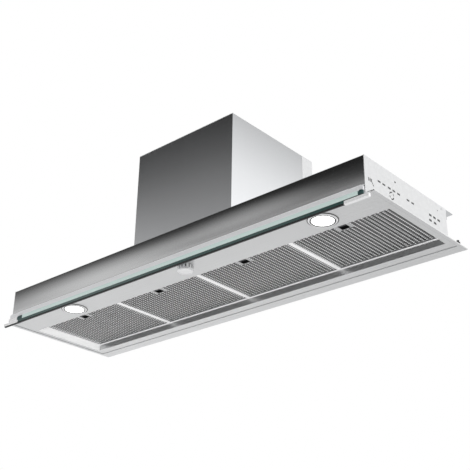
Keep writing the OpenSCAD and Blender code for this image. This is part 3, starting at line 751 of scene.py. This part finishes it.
def make_lens(side, c):
    """Lens with fine round grooves in its face."""
    lo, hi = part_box(side + "_lamp_lens")
    r, thick = (hi.x - lo.x) / 2 - 1.8 * MM, hi.z - lo.z
    profile = [(0, thick), (r, thick), (r, 0.3 * MM)]
    for i in range(LENS_RINGS, 0, -1):
        profile += [(r * (i - 0.5) / LENS_RINGS, 0.0), (r * (i - 0.55) / LENS_RINGS, 0.25 * MM)]
    profile.append((0, 0.1 * MM))
    piece(side + "_lamp_glow", "lens", "hood", [side + "_lamp_lens"],
          lambda bm: lathe(bm, profile, (c.x, c.y, lo.z), LENS_STEPS), smooth=True)


# ---------- Filters ----------

# Expanded metal of the filters: spacing of the rows of bonds, of the bonds in a row, and strand sizes
ROW_GAP, BOND_GAP = 10.7 * MM, 6.4 * MM
BOND_L, BOND_W, STRAND_W, STRAND_T = 4.2 * MM, 5.0 * MM, 0.9 * MM, 0.6 * MM
# A bond's outline, and its length and width at the foot and at the top
BOND_OUTLINE = [(-0.5, 0), (-0.3, -0.5), (0.3, -0.5), (0.5, 0), (0.3, 0.5), (-0.3, 0.5)]
BOND_FOOT = (BOND_W * 0.8, BOND_L * 0.56)
BOND_TOP = (BOND_W, BOND_L * 0.66)
# Room for a latch and its recess in the mesh, and the recess's own half width, depth and wall
NOTCH_HALF, NOTCH_DEPTH = 20.5 * MM, 50 * MM
TRAY_HALF, TRAY_DEPTH, TRAY_T = 17.95 * MM, 46.9 * MM, 0.35 * MM
RIM_W, RIM_MOUTH = 2.2 * MM, 11 * MM


def in_notch(x, y, notch):
    return notch[0] < x < notch[1] and y < notch[2]


def column_gap(x0, x1):
    """How many columns of strands fit between two places along X, and their spacing."""
    columns = round((x1 - x0) / ROW_GAP)
    return columns, (x1 - x0) / columns


def strand_layer(bm, area, notch, z, drop):
    """Strands that zigzag along X and meet their neighbours at every bend, as expanded metal does."""
    x0, x1, y0, y1 = area
    columns, gap = column_gap(x0, x1)
    rows = int((y1 - y0) / (BOND_GAP / 2)) - 1
    for j in range(rows):
        middle = y0 + (j + 1) * BOND_GAP / 2
        for i in range(columns):
            up = 1 if (i + j) % 2 else -1
            ends = [(x0 + i * gap, middle + up * BOND_GAP / 4, z + drop),
                    (x0 + (i + 1) * gap, middle - up * BOND_GAP / 4, z - drop)]
            if not any(in_notch(x, y, notch) for x, y, _ in ends):
                strand(bm, ends)


def strand(bm, ends):
    """A square bar between two points."""
    sides = [[bm.verts.new((x, y + a * STRAND_W / 2, z + b * STRAND_T / 2))
              for a, b in ((-1, -1), (1, -1), (1, 1), (-1, 1))] for x, y, z in ends]
    for s in range(4):
        n = (s + 1) % 4
        bm.faces.new((sides[0][s], sides[0][n], sides[1][n], sides[1][s]))
    bm.faces.new(sides[0][::-1])
    bm.faces.new(sides[1])


def bond_layer(bm, area, notch, z):
    """The flat lozenges where two strands join."""
    x0, x1, y0, y1 = area
    columns, gap = column_gap(x0, x1)
    for i in range(columns + 1):
        x = min(max(x0 + i * gap, x0 + BOND_W / 2), x1 - BOND_W / 2)
        y = y0 + BOND_GAP * (0.5 if i % 2 else 1.0)
        while y < y1 - BOND_GAP * 0.4:
            if not in_notch(x, y, notch):
                bond(bm, x, y, z)
            y += BOND_GAP


def bond(bm, x, y, z):
    """One lozenge, a little wider at its top."""
    low, top = [[bm.verts.new((x + u * size[0], y + v * size[1], level)) for u, v in BOND_OUTLINE]
                for size, level in ((BOND_FOOT, z - STRAND_T), (BOND_TOP, z + STRAND_T / 2))]
    n = len(BOND_OUTLINE)
    for s in range(n):
        bm.faces.new((low[s], low[(s + 1) % n], top[(s + 1) % n], top[s]))
    bm.faces.new(low[::-1])
    bm.faces.new(top)


def make_filter(k):
    """Mesh layers from below to the top, round the latch's recess, with a dark pan between them: painted
    shade deep in the mesh.
    """
    body = f"filter_{k}"
    lo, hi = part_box(f"filter_{k}_mesh")
    f0, f1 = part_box(f"filter_{k}_frame")
    middle = centre_of(f"filter_{k}_mesh").x
    wide = (f0.x + 5.2 * MM, f1.x - 5.2 * MM, f0.y + 0.6 * MM, f1.y - 1.2 * MM)
    area = (lo.x + 0.3 * MM, hi.x - 0.3 * MM, lo.y + 0.3 * MM, hi.y - 0.3 * MM)
    notch = (middle - NOTCH_HALF, middle + NOTCH_HALF, lo.y + NOTCH_DEPTH)
    weave_z = f0.z - 0.35 * MM
    piece(f"filter_{k}_weave", "strand", body, [f"filter_{k}_mesh"],
          lambda bm: strand_layer(bm, wide, notch, weave_z, 0.2 * MM))
    piece(f"filter_{k}_bonds", "bond", body, (),
          lambda bm: bond_layer(bm, wide, notch, weave_z))
    piece(f"filter_{k}_under_weave", "mesh_back", body, (),
          lambda bm: strand_layer(bm, area, notch, lo.z + 2.5 * MM, -0.5 * MM))
    x0, x1, y0, y1 = area
    pan_z = f1.z - 1.0 * MM

    def pan(bm):
        for left, front, right in ((x0, y0, notch[0]), (notch[1], y0, x1), (notch[0], notch[2], notch[1])):
            block(bm, (left, front, pan_z - 0.4 * MM), (right, y1, pan_z))
    piece(f"filter_{k}_pan", "shade_black", body, (), pan)
    piece(f"filter_{k}_top_weave", "strand", body, (),
          lambda bm: strand_layer(bm, area, notch, f1.z - 0.5 * MM, 0.1 * MM))
    piece(f"filter_{k}_top_bonds", "plate", body, (),
          lambda bm: bond_layer(bm, area, notch, f1.z - 0.35 * MM))
    make_recess(k, body, f0, middle)
    make_latch(k, middle)


def make_recess(k, body, f0, middle):
    """Dark tray of the finger recess, painted shade of its hollow, with its pale rim."""
    x0, x1 = middle - TRAY_HALF, middle + TRAY_HALF
    y0, y1 = f0.y + 5.05 * MM, f0.y + 5.05 * MM + TRAY_DEPTH
    z0, z1 = f0.z + 0.05 * MM, f0.z + 7.95 * MM

    def tray(bm):
        block(bm, (x0, y0, z1 - TRAY_T), (x1, y1, z1))
        block(bm, (x0, y0, z0), (x0 + TRAY_T, y1, z1))
        block(bm, (x1 - TRAY_T, y0, z0), (x1, y1, z1))
        block(bm, (x0, y1 - TRAY_T, z0), (x1, y1, z1))
    piece(f"filter_{k}_tray", "shade_black", body, (), tray)

    def rim(bm):
        low, high = f0.z - 0.7 * MM, f0.z - 0.05 * MM
        for _, sign in SIDES:
            a, b = sorted((middle + sign * RIM_MOUTH, middle + sign * (TRAY_HALF + RIM_W)))
            block(bm, (a, y0, low), (b, y1 + RIM_W, high), 0.2 * MM, 1)
        block(bm, (x0, y1, low), (x1, y1 + RIM_W, high), 0.2 * MM, 1)
    piece(f"filter_{k}_recess_rim", "plate", body, (), rim)


def make_latch(k, x):
    """Sliding latch: its tongue, its grip plate and five ribs."""
    lo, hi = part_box(f"filter_{k}_latch")
    mid = (lo.z + hi.z) / 2

    def build(bm):
        block(bm, (x - 8 * MM, lo.y, mid - 1.2 * MM), (x + 8 * MM, lo.y + 9 * MM, mid + 1.3 * MM), 0.4 * MM)
        block(bm, (lo.x, lo.y + 6.2 * MM, mid - 1.0 * MM), (hi.x, hi.y, hi.z), 0.7 * MM)
        for i in range(-2, 3):
            block(bm, (x + (i * 5 - 1.5) * MM, hi.y - 3.4 * MM, lo.z),
                  (x + (i * 5 + 1.5) * MM, hi.y - 0.4 * MM, mid), 0.5 * MM)
    piece(f"filter_{k}_latch_grip", "grey", f"latch_{k}", [f"filter_{k}_latch"], build)


# ---------- Screws ----------

SCREW_R, SCREW_H = 4 * MM, 2.2 * MM
SCREW_RINGS, SCREW_STEPS = 9, 32


def cross_head(bm, centre, axis):
    """Domed screw head with a cross recess."""
    turn = Vector((0, 0, 1)).rotation_difference(Vector(axis)).to_matrix()
    grid = []
    for i in range(SCREW_RINGS + 1):
        r = SCREW_R * i / SCREW_RINGS
        row = []
        for j in range(SCREW_STEPS if i else 1):
            p = on_circle(r, j, SCREW_STEPS)
            p.z = SCREW_H * math.sqrt(max(0.0, 1 - 0.75 * (r / SCREW_R) ** 2))
            if r < 0.62 * SCREW_R and min(abs(p.x), abs(p.y)) < 0.14 * SCREW_R:
                p.z -= 0.45 * SCREW_H
            row.append(bm.verts.new(Vector(centre) + turn @ p))
        grid.append(row)
    foot = [bm.verts.new(Vector(centre) + turn @ on_circle(SCREW_R, j, SCREW_STEPS))
            for j in range(SCREW_STEPS)]
    grid.append(foot)
    for a, b in zip(grid, grid[1:]):
        for j in range(SCREW_STEPS):
            n = (j + 1) % SCREW_STEPS
            bm.faces.new((a[0], b[j], b[n]) if len(a) == 1 else (a[j], b[j], b[n], a[n]))
    bm.faces.new(foot[::-1])


def make_screws():
    """Four screws round the outlet collar and one through each wall bracket's leg."""
    c0, c1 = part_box("outlet_collar")
    collar = centre_of("outlet_collar")
    reach = (c1.x - c0.x) / 2 - 5.5 * MM
    lid_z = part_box("tower_lid")[1].z + 2 * MM
    bracket_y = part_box("left_wall_bracket")[0].y + 2 * MM
    bracket_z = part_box("rear_panel")[1].z - 15.6 * MM
    slide_x = centre_of("right_slide").x

    def build(bm):
        for degrees in (45, 135, 225, 315):
            a = math.radians(degrees)
            cross_head(bm, (collar.x + reach * math.cos(a), collar.y + reach * math.sin(a), lid_z), (0, 0, 1))
        for _, sign in SIDES:
            cross_head(bm, (sign * slide_x, bracket_y, bracket_z), (0, 1, 0))
    piece("screw_heads", "screw", "hood", ["fixing_screws"], build)


# ---------- The CAD parts that stay in view ----------

CAD_LOOKS = {
    "bottom_flange": "under", "filter_bay_frame": "bay", "filter_dividers": "divider",
    "left_side_panel": "galv", "right_side_panel": "galv", "rear_panel": "top", "top_panel": "top",
    "left_guide_rail": "rail", "right_guide_rail": "rail", "visor_glass": "glass",
    "visor_profile": "alu", "left_slide": "rail", "right_slide": "rail",
    "tower_front_cover": "tower", "tower_rear_cover": "galv", "tower_lid": "top",
    "outlet_collar": "collar", "front_damper_flap": "grey", "rear_damper_flap": "grey",
    "damper_pin": "screw", "volute_band": "top", "left_volute_side": "top",
    "right_volute_side": "top", "impeller": "grey", "motor": "motor", "motor_shaft": "screw",
    "motor_bracket": "rail", "capacitor": "white", "control_box": "black", "led_driver": "white",
    "cable_gland": "black", "knob_spindle": "screw", "selector_switch": "black",
    "left_lamp_module": "grey", "right_lamp_module": "grey", "left_wall_bracket": "rail",
    "right_wall_bracket": "rail", "seat_clamps": "black",
}
# Width in mm of the rounding on the edges
ROUNDED = {
    "bottom_flange": 0.3, "filter_bay_frame": 0.3, "filter_dividers": 1.0, "left_side_panel": 0.25,
    "right_side_panel": 0.25, "top_panel": 0.3, "rear_panel": 0.3, "tower_front_cover": 0.5,
    "tower_rear_cover": 0.5, "tower_lid": 0.4, "visor_glass": 0.8, "visor_profile": 0.4,
    "outlet_collar": 0.4, "left_wall_bracket": 0.5, "right_wall_bracket": 0.5,
    "control_box": 3.0, "led_driver": 3.0, "cable_gland": 0.5, "seat_clamps": 0.8,
}
CAD_LOOKS.update({f"filter_{k}_frame": "frame" for k in FILTERS})
ROUNDED.update({f"filter_{k}_frame": 0.5 for k in FILTERS})


def dress_cad():
    for name, look in CAD_LOOKS.items():
        o = nodes[name]
        o.data.materials.clear()
        o.data.materials.append(MATS[look])
    for name, width in ROUNDED.items():
        soft_edges(nodes[name], width * MM)


make_camera()
make_world()
scene.view_settings.view_transform = "Standard"
make_floor()
dress_cad()
make_fascia()
make_visor()
make_bay_light_sheets()
make_border()
make_slot_shadow_sheets()
make_slot_shadows()
make_knob()
for lamp_side, _ in SIDES:
    make_lamp(lamp_side)
for number in FILTERS:
    make_filter(number)
make_screws()
